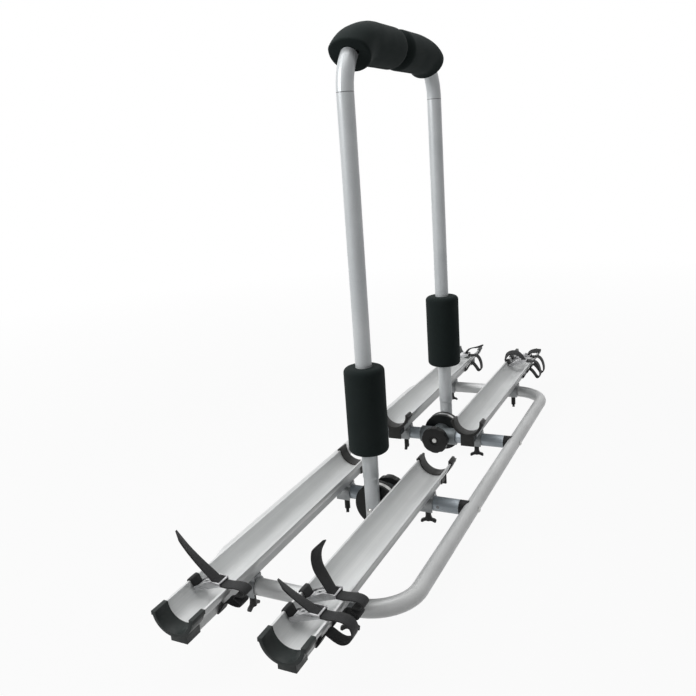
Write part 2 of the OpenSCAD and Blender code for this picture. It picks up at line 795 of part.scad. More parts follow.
ring_frame();
cross_tube(-1);  // cross_tube_near
cross_tube(1);  // cross_tube_far
tube_saddles();
ring_bolts();
plug_rivets();
hinge_hub(-1);  // hinge_hub_near
hinge_hub(1);  // hinge_hub_far
fixed_discs();
friction_drums();
leg_disc(-1);  // leg_disc_near
leg_disc(1);  // leg_disc_far
pivot_bolts();
hand_knob(-1);  // hand_knob_near
hand_knob(1);  // hand_knob_far
leg(-1);  // leg_near
leg(1);  // leg_far
arch_bow();
leg_plugs();
foam_leg(-1, near_foam_h);  // foam_leg_near
foam_leg(1, far_foam_h);  // foam_leg_far
foam_top(-1);  // foam_top_near
foam_top(1);  // foam_top_far
tray(-1, -1);  // tray_near_left
tray(1, -1);  // tray_near_right
tray(-1, 1);  // tray_far_left
tray(1, 1);  // tray_far_right
end_cap(-1, -1);  // end_cap_near_left
end_cap(1, -1);  // end_cap_near_right
end_cap(-1, 1);  // end_cap_far_left
end_cap(1, 1);  // end_cap_far_right
inner_clip(-1, -1);  // inner_clip_near_left
inner_clip(1, -1);  // inner_clip_near_right
inner_clip(-1, 1);  // inner_clip_far_left
inner_clip(1, 1);  // inner_clip_far_right
tray_cradles();
clamp_bolts();
saddle_washers();
wing_knob(-1, -ring_y, 90);  // wing_knob_near_outer_left
wing_knob(1, -ring_y, 20);  // wing_knob_near_outer_right
wing_knob(-1, -cross_y, 115);  // wing_knob_near_inner_left
wing_knob(1, -cross_y, 10);  // wing_knob_near_inner_right
wing_knob(-1, cross_y, 100);  // wing_knob_far_inner_left
wing_knob(1, cross_y, 15);  // wing_knob_far_inner_right
wing_knob(-1, ring_y, 40);  // wing_knob_far_outer_left
wing_knob(1, ring_y, 105);  // wing_knob_far_outer_right
strap(-1, -1, single_strap_in, tail_single_shares, loop_fold_shares);  // strap_near_left
strap(1, -1, inset_outer, tail_outer_shares, loop_open_shares);  // strap_near_right_outer
strap(1, -1, inset_inner, tail_inner_shares, loop_fold_shares);  // strap_near_right_inner
strap(-1, 1, single_strap_in, tail_bent_shares, loop_hang_shares);  // strap_far_left
strap(1, 1, inset_outer, tail_spike_shares, loop_hang_shares);  // strap_far_right_outer
strap(1, 1, inset_inner, tail_droop_shares, loop_hang_shares);  // strap_far_right_inner
cam_lever(-1, -1, single_strap_in);  // cam_lever_near_left
cam_lever(1, -1, inset_outer);  // cam_lever_near_right_outer
cam_lever(1, -1, inset_inner);  // cam_lever_near_right_inner
cam_lever(-1, 1, single_strap_in);  // cam_lever_far_left
cam_lever(1, 1, inset_outer);  // cam_lever_far_right_outer
cam_lever(1, 1, inset_inner);  // cam_lever_far_right_inner
buckle_frames();
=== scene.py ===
import math

import bmesh
import bpy
from mathutils import Matrix, Vector


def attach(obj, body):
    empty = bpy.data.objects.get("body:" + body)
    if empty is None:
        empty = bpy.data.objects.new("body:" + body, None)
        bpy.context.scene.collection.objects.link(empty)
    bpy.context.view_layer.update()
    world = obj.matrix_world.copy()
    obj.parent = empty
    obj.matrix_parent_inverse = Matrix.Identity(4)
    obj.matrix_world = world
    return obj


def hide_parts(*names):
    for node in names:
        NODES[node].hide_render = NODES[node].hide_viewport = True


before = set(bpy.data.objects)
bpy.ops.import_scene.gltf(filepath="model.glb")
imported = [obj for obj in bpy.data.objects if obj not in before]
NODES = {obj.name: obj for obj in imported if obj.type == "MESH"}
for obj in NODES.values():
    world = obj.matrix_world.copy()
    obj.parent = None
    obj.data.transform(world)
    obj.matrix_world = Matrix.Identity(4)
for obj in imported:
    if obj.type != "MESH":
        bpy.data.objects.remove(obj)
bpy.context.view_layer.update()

MM = 0.001
SIDES = (("near", -1), ("far", 1))

# Sizes of the rack that the pieces below follow: the ring's plane over the floor, and the arch
PLANE = 41 * MM
LEG_Y = 222.05 * MM
ARCH_H = 833 * MM
ARCH_BEND = 83 * MM
LEG_TOP = ARCH_H - ARCH_BEND

# Foam sleeves: FOAM_FOOT is their height over the hinge, TOP_FOAM_TURN how far they go round a bend
FOAM_R = 37.5 * MM
FOAM_BORE_R = 15.3 * MM
FOAM_LEN = 163 * MM
FOAM_ROUND = 9 * MM
GAP_ROUND = 13 * MM
FOAM_STRETCH = 6.5 * MM
STRETCH_EASE = 30 * MM
FOAM_UNEVEN = 0.5 * MM
FOAM_FOOT = {"near": 118 * MM, "far": 157 * MM}
TOP_FOAM_GAP = 22 * MM
TOP_FOAM_TURN = {"near": math.radians(44), "far": math.radians(34)}

# Trays: their section is counted from the channel's floor, which lies at FLOOR_Z
TRAY_X = 86 * MM
TRAY_SHIFT = 3 * MM
TRAY_W = 68 * MM
TRAY_DEPTH = 28.5 * MM
TRAY_WALL = 2 * MM
RIM_LIP = 3.5 * MM
LIP_T = 3 * MM
CHANNEL_R = TRAY_W / 2 - RIM_LIP
OUT_R = CHANNEL_R + TRAY_WALL
RAIL_HALF = 12.5 * MM
RAIL_H = 13.5 * MM
RAIL_LOW = -TRAY_WALL - RAIL_H
FLOOR_Z = 76.5 * MM
LINE_END = 709 * MM

# Straps: the places are distances from the end of a tray line to the webbing's middle
STRAP_W = 20 * MM
STRAP_T = 2 * MM
STRAP_BEVEL = 0.45 * MM
SEAT_GAP = 0.3 * MM
SLIP_GAP = 0.15 * MM
BAR_R = 1.6 * MM
TAIL_BACK = 5 * MM
SINGLE_IN = 92 * MM
OUTER_IN = 73 * MM
STRAP_STEP = 48 * MM
INNER_IN = OUTER_IN + STRAP_STEP

# The camera, fitted to the photograph's edges

CAMERA_PLACE = Vector((555.34 * MM, -1397.38 * MM, 660.28 * MM + PLANE))
YAW, PITCH, ROLL = (math.radians(a) for a in (26.42, 14.78, 4.16))
FOCAL_PX, PHOTO_PX, SENSOR_MM = 753.46, 696, 36.0


def make_camera():
    """A camera with the photograph's place, turn and lens."""
    ahead = Vector((-math.sin(YAW) * math.cos(PITCH), math.cos(YAW) * math.cos(PITCH), -math.sin(PITCH)))
    level = Vector((math.cos(YAW), math.sin(YAW), 0))
    down = ahead.cross(level)
    right = math.cos(ROLL) * level + math.sin(ROLL) * down
    below = -math.sin(ROLL) * level + math.cos(ROLL) * down
    data = bpy.data.cameras.new("camera")
    data.sensor_width = SENSOR_MM
    data.sensor_fit = "HORIZONTAL"
    data.lens = SENSOR_MM * FOCAL_PX / PHOTO_PX
    data.clip_start, data.clip_end = 0.05, 60
    camera = bpy.data.objects.new("camera", data)
    turn = Matrix((right, -below, -ahead)).transposed().to_4x4()
    camera.matrix_world = Matrix.Translation(CAMERA_PLACE) @ turn
    bpy.context.scene.collection.objects.link(camera)
    bpy.context.scene.camera = camera


make_camera()
bpy.context.scene.view_settings.view_transform = "Standard"

# Node groups: each gives out masks and heights only


def new_group(name, inputs, outputs):
    """An empty node group with named sockets: returns it and its two ends."""
    group = bpy.data.node_groups.new(name, "ShaderNodeTree")
    for label, kind, value in inputs:
        socket = group.interface.new_socket(name=label, in_out="INPUT", socket_type="NodeSocket" + kind)
        if value is not None:
            socket.default_value = value
    for label, kind in outputs:
        group.interface.new_socket(name=label, in_out="OUTPUT", socket_type="NodeSocket" + kind)
    return group, group.nodes.new("NodeGroupInput"), group.nodes.new("NodeGroupOutput")


def put(tree, kind, **settings):
    """A node with its settings; a setting named after an input socket fills or links that socket."""
    node = tree.nodes.new("ShaderNode" + kind)
    for key, value in settings.items():
        if key.startswith("in_"):
            place = key[3:]
            socket = node.inputs[int(place) if place.isdigit() else place.replace("_", " ")]
            if isinstance(value, bpy.types.NodeSocket):
                tree.links.new(value, socket)
            else:
                socket.default_value = value
        else:
            setattr(node, key, value)
    return node


def math_node(tree, operation, first, second=0.0, clamp=False):
    node = put(tree, "Math", operation=operation, use_clamp=clamp)
    for socket, value in zip(node.inputs, (first, second)):
        if isinstance(value, bpy.types.NodeSocket):
            tree.links.new(value, socket)
        else:
            socket.default_value = value
    return node.outputs[0]


def spread(tree, value, low, high, to_low=0.0, to_high=1.0):
    """A value's span from low to high, laid over another span."""
    node = put(tree, "MapRange", in_Value=value)
    for label, number in (("From Min", low), ("From Max", high), ("To Min", to_low), ("To Max", to_high)):
        node.inputs[label].default_value = number
    return node.outputs["Result"]


def make_paint_flake():
    """Silver paint: fine flake, a faint orange peel and slow changes of tone."""
    tree, start, end = new_group(
        "paint_flake", (("Vector", "Vector", None), ("Flakes", "Float", 900.0), ("Peel", "Float", 160.0)),
        (("Flake", "Float"), ("Tone", "Float"), ("Height", "Float")))
    place = start.outputs["Vector"]
    flake = put(tree, "TexNoise", in_Vector=place, in_Scale=start.outputs["Flakes"], in_Detail=2.0)
    peel = put(tree, "TexNoise", in_Vector=place, in_Scale=start.outputs["Peel"], in_Detail=1.0)
    tone = put(tree, "TexNoise", in_Vector=place, in_Scale=11.0, in_Detail=3.0)
    tree.links.new(spread(tree, flake.outputs[0], 0.35, 0.68), end.inputs["Flake"])
    tree.links.new(spread(tree, tone.outputs[0], 0.3, 0.7), end.inputs["Tone"])
    tree.links.new(peel.outputs[0], end.inputs["Height"])
    return tree


def make_drawn_lines():
    """Metal drawn or brushed along one axis: streaks stretched by a scale for each axis."""
    tree, start, end = new_group(
        "drawn_lines", (("Vector", "Vector", None), ("Across", "Vector", (700.0, 6.0, 700.0))),
        (("Streak", "Float"), ("Band", "Float"), ("Height", "Float")))
    stretched = put(tree, "VectorMath", operation="MULTIPLY", in_0=start.outputs["Vector"],
                    in_1=start.outputs["Across"])
    fine = put(tree, "TexNoise", in_Vector=stretched.outputs[0], in_Scale=1.0, in_Detail=3.0,
               in_Roughness=0.6)
    wide = put(tree, "TexNoise", in_Vector=stretched.outputs[0], in_Scale=0.12, in_Detail=1.0)
    tree.links.new(spread(tree, fine.outputs[0], 0.3, 0.7), end.inputs["Streak"])
    tree.links.new(spread(tree, wide.outputs[0], 0.35, 0.65), end.inputs["Band"])
    tree.links.new(fine.outputs[0], end.inputs["Height"])
    return tree


def make_moulded_grain():
    """Moulded plastic: a fine leathery grain and a patchy sheen."""
    tree, start, end = new_group(
        "moulded_grain", (("Vector", "Vector", None), ("Grain", "Float", 700.0)),
        (("Shade", "Float"), ("Sheen", "Float"), ("Height", "Float")))
    place = start.outputs["Vector"]
    grain = put(tree, "TexVoronoi", in_Vector=place, in_Scale=start.outputs["Grain"])
    cloud = put(tree, "TexNoise", in_Vector=place, in_Scale=55.0, in_Detail=4.0)
    sheen = put(tree, "TexNoise", in_Vector=place, in_Scale=140.0, in_Detail=2.0)
    tree.links.new(spread(tree, cloud.outputs[0], 0.3, 0.7), end.inputs["Shade"])
    tree.links.new(spread(tree, sheen.outputs[0], 0.3, 0.7), end.inputs["Sheen"])
    tree.links.new(grain.outputs["Distance"], end.inputs["Height"])
    return tree


def make_foam_cells():
    """Closed-cell foam with a cut skin: pin-hole cells, and broad dull patches."""
    tree, start, end = new_group(
        "foam_cells", (("Vector", "Vector", None), ("Cells", "Float", 620.0)),
        (("Pit", "Float"), ("Patch", "Float"), ("Height", "Float")))
    place = start.outputs["Vector"]
    cells = put(tree, "TexVoronoi", in_Vector=place, in_Scale=start.outputs["Cells"])
    fine = put(tree, "TexNoise", in_Vector=place, in_Scale=1300.0, in_Detail=2.0)
    patch = put(tree, "TexNoise", in_Vector=place, in_Scale=38.0, in_Detail=4.0, in_Roughness=0.6)
    # Pit is low at each cell's middle; the foam finish darkens the colour there as painted shade in the
    # pores.
    pit = spread(tree, cells.outputs["Distance"], 0.0, 0.55)
    rough = math_node(tree, "MULTIPLY_ADD", fine.outputs[0], 0.5)
    tree.links.new(pit, rough.node.inputs[2])
    tree.links.new(pit, end.inputs["Pit"])
    tree.links.new(spread(tree, patch.outputs[0], 0.3, 0.7), end.inputs["Patch"])
    tree.links.new(rough, end.inputs["Height"])
    return tree


def humps(tree, count):
    """One rounded hump from zero to one for each whole count."""
    return math_node(tree, "ABSOLUTE", math_node(tree, "SINE", math_node(tree, "MULTIPLY", count, math.pi)))


def make_webbing_weave():
    """Flat woven webbing on its own lengths: U across in metres, V along in metres."""
    tree, start, end = new_group(
        "webbing_weave",
        (("UV", "Vector", None), ("Column", "Float", 1.25 * MM), ("Pick", "Float", 1.7 * MM)),
        (("Thread", "Float"), ("Height", "Float")))
    parts = put(tree, "SeparateXYZ", in_Vector=start.outputs["UV"])
    column = math_node(tree, "DIVIDE", parts.outputs[0], start.outputs["Column"])
    pick = math_node(tree, "DIVIDE", parts.outputs[1], start.outputs["Pick"])
    stagger = math_node(tree, "MULTIPLY", math_node(tree, "FLOOR", column), 0.5)
    rows = math_node(tree, "ADD", pick, stagger)
    over, beside = humps(tree, rows), humps(tree, column)
    # Knit is high on thread crowns and low in the gaps; the webbing finish uses it to darken the gaps as
    # painted shade.
    knit = math_node(tree, "MULTIPLY", over, math_node(tree, "POWER", beside, 0.5))
    fuzz = put(tree, "TexNoise", in_Vector=start.outputs["UV"], in_Scale=2600.0, in_Detail=2.0)
    height = math_node(tree, "MULTIPLY_ADD", fuzz.outputs[0], 0.3)
    tree.links.new(knit, height.node.inputs[2])
    tree.links.new(knit, end.inputs["Thread"])
    tree.links.new(height, end.inputs["Height"])
    return tree


def make_rubbed_edges():
    """Where edges and corners are rubbed bright, broken up so that it isn't even."""
    tree, start, end = new_group(
        "rubbed_edges",
        (("Vector", "Vector", None), ("Reach", "Float", 0.8 * MM), ("Broken", "Float", 260.0)),
        (("Mask", "Float"),))
    bevel = put(tree, "Bevel", samples=4, in_Radius=start.outputs["Reach"])
    flat = put(tree, "NewGeometry")
    dot = put(tree, "VectorMath", operation="DOT_PRODUCT", in_0=bevel.outputs[0], in_1=flat.outputs["Normal"])
    edge = spread(tree, dot.outputs["Value"], 0.995, 0.86)
    noise = put(tree, "TexNoise", in_Vector=start.outputs["Vector"], in_Scale=start.outputs["Broken"],
                in_Detail=3.0)
    broken = math_node(tree, "MULTIPLY", edge, spread(tree, noise.outputs[0], 0.38, 0.62), True)
    tree.links.new(broken, end.inputs["Mask"])
    return tree


def make_handling_marks():
    """Faint smudges and short scratches left by handling."""
    tree, start, end = new_group(
        "handling_marks", (("Vector", "Vector", None), ("Marks", "Float", 24.0)),
        (("Smudge", "Float"), ("Scratch", "Float")))
    place = start.outputs["Vector"]
    smudge = put(tree, "TexNoise", in_Vector=place, in_Scale=start.outputs["Marks"], in_Detail=5.0,
                 in_Distortion=0.6)
    bent = put(tree, "VectorMath", operation="MULTIPLY", in_0=place, in_1=(420.0, 60.0, 420.0))
    scratch = put(tree, "TexNoise", in_Vector=bent.outputs[0], in_Scale=1.0, in_Detail=1.0, in_Distortion=1.4)
    tree.links.new(spread(tree, smudge.outputs[0], 0.42, 0.72), end.inputs["Smudge"])
    tree.links.new(spread(tree, scratch.outputs[0], 0.66, 0.76), end.inputs["Scratch"])
    return tree


PAINT_FLAKE = make_paint_flake()
DRAWN_LINES = make_drawn_lines()
MOULDED_GRAIN = make_moulded_grain()
FOAM_CELLS = make_foam_cells()
WEBBING_WEAVE = make_webbing_weave()
RUBBED_EDGES = make_rubbed_edges()
HANDLING_MARKS = make_handling_marks()

# Finishes, one for each slot of the CAD pieces


class Finish:
    """A material in the making: its tree, its shader and the object's own coordinates."""

    def __init__(self, name, metallic=0.0, roughness=0.5, specular=0.5):
        self.material = bpy.data.materials.new(name)
        self.material.use_nodes = True
        self.tree = self.material.node_tree
        self.shader = self.tree.nodes["Principled BSDF"]
        self.shader.inputs["Metallic"].default_value = metallic
        self.shader.inputs["Roughness"].default_value = roughness
        self.shader.inputs["Specular IOR Level"].default_value = specular
        self.place = put(self.tree, "TexCoord").outputs["Object"]

    def effect(self, group, **inputs):
        node = self.tree.nodes.new("ShaderNodeGroup")
        node.node_tree = group
        first = node.inputs[0]
        for label, value in inputs.items():
            node.inputs[label].default_value = value
        self.tree.links.new(self.place, first)
        return node.outputs

    def blend(self, mask, first, second):
        """A colour that goes from the first to the second by the mask."""
        node = put(self.tree, "Mix", data_type="RGBA")
        self.tree.links.new(mask, node.inputs["Factor"])
        for socket, value in ((node.inputs[6], first), (node.inputs[7], second)):
            if isinstance(value, bpy.types.NodeSocket):
                self.tree.links.new(value, socket)
            else:
                socket.default_value = (*value, 1)
        return node.outputs[2]

    def span(self, value, to_low, to_high):
        return spread(self.tree, value, 0.0, 1.0, to_low, to_high)

    def feed(self, label, socket):
        self.tree.links.new(socket, self.shader.inputs[label])

    def bump(self, height, strength, depth):
        node = put(self.tree, "Bump", in_Strength=strength, in_Distance=depth, in_Height=height)
        self.feed("Normal", node.outputs[0])


def silver_paint(name, deep, light, metallic, roughness, seams=()):
    """Satin silver paint on tube. Seams are heights at which two tubes meet in a hairline."""
    look = Finish(name, metallic, roughness)
    look.shader.inputs["Coat Weight"].default_value = 0.12
    look.shader.inputs["Coat Roughness"].default_value = 0.18
    flake = look.effect(PAINT_FLAKE)
    marks = look.effect(HANDLING_MARKS, Marks=16.0)
    edges = look.effect(RUBBED_EDGES, Reach=1.2 * MM)
    tone = look.blend(flake["Tone"], deep, light)
    glint = look.blend(look.span(flake["Flake"], 0.0, 0.22), tone, (0.9, 0.91, 0.93))
    worn = look.blend(look.span(marks["Smudge"], 0.0, 0.12), glint, tuple(0.55 * c for c in deep))
    colour = look.blend(look.span(edges["Mask"], 0.0, 0.4), worn, (0.86, 0.86, 0.85))
    for height in seams:
        rise = put(look.tree, "SeparateXYZ", in_Vector=look.place).outputs[2]
        off = math_node(look.tree, "ABSOLUTE", math_node(look.tree, "SUBTRACT", rise, height))
        colour = look.blend(spread(look.tree, off, 0.7 * MM, 0.35 * MM), colour, (0.06, 0.065, 0.07))
    look.feed("Base Color", colour)
    look.feed("Roughness", look.span(marks["Smudge"], roughness - 0.04, roughness + 0.1))
    look.bump(flake["Height"], 0.12, 0.12 * MM)
    return look.material


def drawn_aluminium(name, deep, light, metallic, roughness, across=(700.0, 6.0, 700.0), rubbed=0.5):
    """Drawn aluminium with lengthwise streaks and bands, edges rubbed bright."""
    look = Finish(name, metallic, roughness)
    lines = look.effect(DRAWN_LINES, Across=across)
    marks = look.effect(HANDLING_MARKS, Marks=9.0)
    edges = look.effect(RUBBED_EDGES, Reach=0.9 * MM, Broken=120.0)
    streak = look.blend(lines["Streak"], deep, light)
    band = look.blend(look.span(lines["Band"], 0.0, 0.35), streak, tuple(0.8 * c for c in deep))
    marked = look.blend(look.span(marks["Smudge"], 0.0, 0.16), band, tuple(0.7 * c for c in deep))
    scratched = look.blend(look.span(marks["Scratch"], 0.0, 0.35), marked, (0.93, 0.94, 0.95))
    look.feed("Base Color", look.blend(look.span(edges["Mask"], 0.0, rubbed), scratched, (0.95, 0.95, 0.95)))
    look.feed("Roughness", look.span(lines["Streak"], roughness - 0.06, roughness + 0.08))
    look.bump(lines["Height"], 0.16, 0.06 * MM)
    return look.material


def cast_metal(name, deep, light, metallic, roughness):
    """Sand-blasted casting or plated steel: a fine even grain, edges rubbed bright."""
    look = Finish(name, metallic, roughness)
    grain = look.effect(MOULDED_GRAIN, Grain=1100.0)
    marks = look.effect(HANDLING_MARKS, Marks=60.0)
    edges = look.effect(RUBBED_EDGES, Reach=0.5 * MM)
    tone = look.blend(grain["Shade"], deep, light)
    marked = look.blend(look.span(marks["Smudge"], 0.0, 0.3), tone, tuple(0.6 * c for c in deep))
    look.feed("Base Color", look.blend(look.span(edges["Mask"], 0.0, 0.5), marked, (0.85, 0.85, 0.84)))
    look.feed("Roughness", look.span(grain["Sheen"], roughness - 0.07, roughness + 0.1))
    look.bump(grain["Height"], 0.15, 0.08 * MM)
    return look.material


def black_plastic(name, deep, light, roughness, grain_size=700.0, rubbed=0.3):
    """Moulded plastic with a fine grain, a patchy sheen and edges rubbed pale."""
    look = Finish(name, 0.0, roughness, 0.22)
    grain = look.effect(MOULDED_GRAIN, Grain=grain_size)
    marks = look.effect(HANDLING_MARKS, Marks=40.0)
    edges = look.effect(RUBBED_EDGES, Reach=0.9 * MM)
    tone = look.blend(grain["Shade"], deep, light)
    dusty = look.blend(look.span(marks["Smudge"], 0.0, 0.1), tone, (0.07, 0.07, 0.067))
    look.feed("Base Color", look.blend(look.span(edges["Mask"], 0.0, rubbed), dusty, (0.11, 0.115, 0.115)))
    look.feed("Roughness", look.span(grain["Sheen"], roughness - 0.08, roughness + 0.1))
    look.bump(grain["Height"], 0.2, 0.1 * MM)
    return look.material


def sleeve_foam(name):
    """Matte black foam with a faint green cast and open cells on its cut skin, painted shade darkening the
    cell pits.
    """
    look = Finish(name, 0.0, 0.92, 0.2)
    cells = look.effect(FOAM_CELLS)
    marks = look.effect(HANDLING_MARKS, Marks=14.0)
    tone = look.blend(cells["Patch"], (0.0068, 0.0112, 0.0108), (0.0125, 0.0185, 0.0178))
    # Painted shade: the colour is darkened in the cell pits.
    pit_shaded = look.blend(look.span(cells["Pit"], 0.45, 0.0), tone, (0.003, 0.0045, 0.0045))
    look.feed("Base Color", look.blend(look.span(marks["Smudge"], 0.0, 0.15), pit_shaded, (0.03, 0.036, 0.036)))
    look.feed("Roughness", look.span(cells["Patch"], 0.85, 0.98))
    look.bump(cells["Height"], 0.35, 0.35 * MM)
    return look.material


def strap_webbing(name):
    """Black polyester webbing, woven in staggered columns, with a dull sheen and painted shade in the gaps
    between threads.
    """
    look = Finish(name, 0.0, 0.7, 0.35)
    look.shader.inputs["Sheen Weight"].default_value = 0.12
    look.shader.inputs["Sheen Roughness"].default_value = 0.45
    marks = look.effect(HANDLING_MARKS, Marks=55.0)
    look.place = put(look.tree, "UVMap", uv_map="UVMap").outputs[0]
    weave = look.effect(WEBBING_WEAVE)
    # Painted shade: the colour is darkened in the gaps between threads, by the weave's Thread mask.
    tone = look.blend(weave["Thread"], (0.0035, 0.0038, 0.0042), (0.014, 0.0145, 0.0155))
    look.feed("Base Color", look.blend(look.span(marks["Smudge"], 0.0, 0.25), tone, (0.03, 0.031, 0.033)))
    look.feed("Roughness", look.span(weave["Thread"], 0.82, 0.62))
    look.bump(weave["Height"], 0.5, 0.3 * MM)
    return look.material


SEAM_Z = PLANE + LEG_TOP
FINISHES = {
    "ring_paint": silver_paint("silver_ring_paint", (0.66, 0.67, 0.67), (0.73, 0.74, 0.735), 0.15, 0.38),
    "cross_tube_paint": silver_paint(
        "grey_cross_tube_paint", (0.36, 0.415, 0.46), (0.43, 0.485, 0.53), 0.2, 0.34),
    "arch_paint": silver_paint(
        "grey_arch_paint", (0.52, 0.55, 0.565), (0.6, 0.625, 0.635), 0.2, 0.33, (SEAM_Z,)),
    "tray_aluminium": drawn_aluminium(
        "drawn_tray_aluminium", (0.74, 0.755, 0.755), (0.82, 0.83, 0.825), 0.1, 0.42),
    "cap_plastic": black_plastic("end_cap_plastic", (0.012, 0.016, 0.0155), (0.02, 0.026, 0.025), 0.42),
    "clip_plastic": black_plastic("tray_clip_plastic", (0.011, 0.011, 0.0105), (0.024, 0.024, 0.0225), 0.4),
    "plug_plastic": black_plastic("tube_plug_plastic", (0.008, 0.0085, 0.009), (0.016, 0.017, 0.018), 0.5),
    "knob_plastic": black_plastic(
        "knob_plastic_black", (0.006, 0.0065, 0.0065), (0.012, 0.0125, 0.0125), 0.4),
    "disc_plastic": black_plastic("hinge_disc_plastic", (0.006, 0.0075, 0.0075), (0.013, 0.015, 0.015), 0.38),
    "drum_aluminium": drawn_aluminium(
        "turned_drum_aluminium", (0.5, 0.5, 0.49), (0.7, 0.7, 0.69), 0.8, 0.28, (30.0, 900.0, 30.0)),
    "hub_casting": cast_metal("hub_cast_aluminium", (0.11, 0.125, 0.13), (0.2, 0.22, 0.23), 0.6, 0.42),
    "cradle_aluminium": cast_metal(
        "cradle_blasted_aluminium", (0.18, 0.19, 0.195), (0.3, 0.31, 0.315), 0.6, 0.42),
    "zinc_steel": cast_metal("zinc_plated_steel", (0.42, 0.42, 0.41), (0.58, 0.58, 0.57), 0.85, 0.3),
    "rivet_aluminium": cast_metal(
        "rivet_dull_aluminium", (0.16, 0.165, 0.17), (0.26, 0.265, 0.27), 0.7, 0.42),
    "buckle_steel": drawn_aluminium(
        "buckle_bright_steel", (0.45, 0.45, 0.46), (0.66, 0.66, 0.67), 0.85, 0.3, (90.0, 700.0, 700.0)),
    "lever_steel": drawn_aluminium(
        "lever_brushed_steel", (0.4, 0.405, 0.41), (0.6, 0.605, 0.61), 0.85, 0.34, (90.0, 700.0, 700.0)),
    "webbing": strap_webbing("strap_black_webbing"),
    "foam": sleeve_foam("sleeve_black_foam"),
}

for node in NODES.values():
    for place in node.material_slots:
        place.material = FINISHES[place.material.name]

# Modelling helpers


def only(piece):
    """Makes one piece the only selected one, and the active one."""
    bpy.ops.object.select_all(action="DESELECT")
    piece.select_set(True)
    bpy.context.view_layer.objects.active = piece


def keep_place(piece):
    """Moves a new primitive's place into its mesh."""
    only(piece)
    bpy.ops.object.transform_apply(location=True, rotation=True, scale=True)


def start_edit(piece):
    only(piece)
    bpy.ops.object.mode_set(mode="EDIT")
    bpy.ops.mesh.select_all(action="SELECT")


def end_edit():
    bpy.ops.object.mode_set(mode="OBJECT")


def pick(piece, kind, wanted):
    """Selects the vertices, edges or faces that the test wants, in edit mode."""
    bpy.ops.mesh.select_mode(type=kind)
    bpy.ops.mesh.select_all(action="DESELECT")
    mesh = bmesh.from_edit_mesh(piece.data)
    for part in {"VERT": mesh.verts, "EDGE": mesh.edges, "FACE": mesh.faces}[kind]:
        if wanted(part):
            part.select_set(True)
    mesh.select_flush_mode()
    bmesh.update_edit_mesh(piece.data)


def work(piece, kind, **settings):
    """Adds a modifier with its settings and applies it."""
    only(piece)
    modifier = piece.modifiers.new(kind.lower(), kind)
    for key, value in settings.items():
        setattr(modifier, key, value)
    bpy.ops.object.modifier_apply(modifier=modifier.name)


def smooth(piece, degrees=35):
    only(piece)
    bpy.ops.object.shade_smooth_by_angle(angle=math.radians(degrees))


def fit_in(piece, body, finish, *nodes):
    """A finished piece rides on its body, takes its finish and stands for its CAD nodes."""
    piece.data.materials.clear()
    piece.data.materials.append(FINISHES[finish])
    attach(piece, body)
    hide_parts(*nodes)


def rounded_copy(node, body, finish, width, segments=2, degrees=30):
    """A copy of a CAD piece with its small edges rounded off, as moulded or tumbled pieces have."""
    piece = NODES[node].copy()
    piece.data = NODES[node].data.copy()
    piece.parent = None
    piece.matrix_world = Matrix.Identity(4)
    piece.name = node + "_rounded"
    bpy.context.scene.collection.objects.link(piece)
    start_edit(piece)
    bpy.ops.mesh.customdata_custom_splitnormals_clear()
    bpy.ops.mesh.remove_doubles(threshold=0.01 * MM)
    bpy.ops.mesh.dissolve_limited(angle_limit=math.radians(1))
    end_edit()
    work(piece, "BEVEL", width=width, segments=segments, limit_method="ANGLE",
         angle_limit=math.radians(degrees), use_clamp_overlap=True)
    smooth(piece)
    fit_in(piece, body, finish, node)


# Foam sleeves

AROUND = 72


def is_outer_rim(edge, axis, ends, centre):
    """Does an edge lie on the outer rim of a sleeve's end?"""
    middle = (edge.verts[0].co + edge.verts[1].co) / 2
    spoke = middle - centre
    spoke[axis] = 0
    return min(abs(middle[axis] - end) for end in ends) < 0.01 * MM and spoke.length > 0.9 * FOAM_R


def uneven(piece, strength):
    """Makes the outer skin of a foam piece very slightly uneven."""
    cloud = bpy.data.textures.new(piece.name + "_cloud", "CLOUDS")
    cloud.noise_scale = 0.045
    work(piece, "DISPLACE", texture=cloud, texture_coords="LOCAL", strength=strength, mid_level=1.0)


def leg_sleeve(name, side):
    """A straight foam tube pushed over one leg, its two ends rounded off."""
    low = PLANE + FOAM_FOOT[name]
    centre = Vector((0, side * LEG_Y, low + FOAM_LEN / 2))
    bpy.ops.object.select_all(action="DESELECT")
    bpy.ops.mesh.primitive_cylinder_add(vertices=AROUND, radius=FOAM_R, depth=FOAM_LEN, location=centre)
    sleeve = bpy.context.active_object
    sleeve.name = "foam_sleeve_leg_" + name
    keep_place(sleeve)
    start_edit(sleeve)
    pick(sleeve, "FACE", lambda face: abs(face.normal.z) > 0.9)
    bpy.ops.mesh.inset(thickness=FOAM_R - FOAM_BORE_R)
    bpy.ops.mesh.bridge_edge_loops()
    pick(sleeve, "EDGE", lambda edge: is_outer_rim(edge, 2, (low, low + FOAM_LEN), centre))
    bpy.ops.mesh.bevel(offset=FOAM_ROUND, segments=6, affect="EDGES")
    pick(sleeve, "EDGE", lambda edge: abs(edge.verts[0].co.z - edge.verts[1].co.z) > FOAM_LEN / 2)
    bpy.ops.mesh.subdivide(number_cuts=12)
    end_edit()
    return sleeve


def stretch_over_bend(sleeve, side):
    """Foam pulled round a bend is stretched, and so thinner, on the bend's outside."""
    centre_y, centre_z = LEG_Y - ARCH_BEND, PLANE + ARCH_H - ARCH_BEND
    for vertex in sleeve.data.vertices:
        out, up = side * vertex.co.y - centre_y, vertex.co.z - centre_z
        turned = max(0.0, out)
        radius = math.hypot(turned, up)
        skin = (radius - ARCH_BEND - FOAM_BORE_R) / (FOAM_R - FOAM_BORE_R)
        eased_in = min(1.0, max(0.0, (out + STRETCH_EASE) / (2 * STRETCH_EASE)))
        less = FOAM_STRETCH * min(1.0, max(0.0, skin)) * eased_in ** 2 * (3 - 2 * eased_in)
        vertex.co.y -= side * less * turned / radius
        vertex.co.z -= less * up / radius


